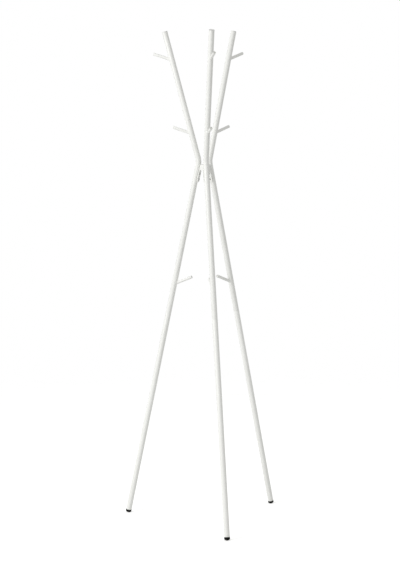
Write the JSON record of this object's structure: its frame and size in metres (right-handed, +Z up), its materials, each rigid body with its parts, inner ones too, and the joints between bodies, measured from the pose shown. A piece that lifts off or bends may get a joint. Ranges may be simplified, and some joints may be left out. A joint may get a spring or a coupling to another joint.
{
  "type": "standing coat rack",
  "caption": "Free-standing tripod coat rack: bent white steel tubes screwed to a small folded hub at the waist, with short round pegs and domed rubber feet.",
  "frame": {"origin": "on the floor, under the middle of the stand's outline; the stand's own centre line is 75.5 mm behind it", "axes": "+Z up; the front leg points along -Y; the two rear legs point backwards to +X and -X"},
  "size_m": [0.5438, 0.4736, 1.7],
  "materials": {
    "powder_coat": "semi-gloss white powder coat with a fine orange-peel texture",
    "rubber": "matt moulded black rubber",
    "zinc": "bright zinc-plated steel",
    "cap_plastic": "matt moulded light grey plastic",
    "bare_steel": "drawn steel tube, unpainted"
  },
  "bodies": {
    "root": {"hub_bracket": "powder_coat", "front_upper_tube": "powder_coat", "front_lower_tube": "powder_coat", "front_tube_spigot": "bare_steel", "front_foot": "rubber", "front_top_cap": "cap_plastic", "front_top_peg": "powder_coat", "front_middle_peg": "powder_coat", "front_low_peg": "powder_coat", "front_upper_hub_screw": "zinc", "front_lower_hub_screw": "zinc", "front_upper_rivet_nut": "zinc", "front_lower_rivet_nut": "zinc", "right_upper_tube": "powder_coat", "right_lower_tube": "powder_coat", "right_tube_spigot": "bare_steel", "right_foot": "rubber", "right_top_cap": "cap_plastic", "right_top_peg": "powder_coat", "right_middle_peg": "powder_coat", "right_low_peg": "powder_coat", "right_upper_hub_screw": "zinc", "right_lower_hub_screw": "zinc", "right_upper_rivet_nut": "zinc", "right_lower_rivet_nut": "zinc", "left_upper_tube": "powder_coat", "left_lower_tube": "powder_coat", "left_tube_spigot": "bare_steel", "left_foot": "rubber", "left_top_cap": "cap_plastic", "left_top_peg": "powder_coat", "left_middle_peg": "powder_coat", "left_low_peg": "powder_coat", "left_upper_hub_screw": "zinc", "left_lower_hub_screw": "zinc", "left_upper_rivet_nut": "zinc", "left_lower_rivet_nut": "zinc"}
  },
  "joints": []
}
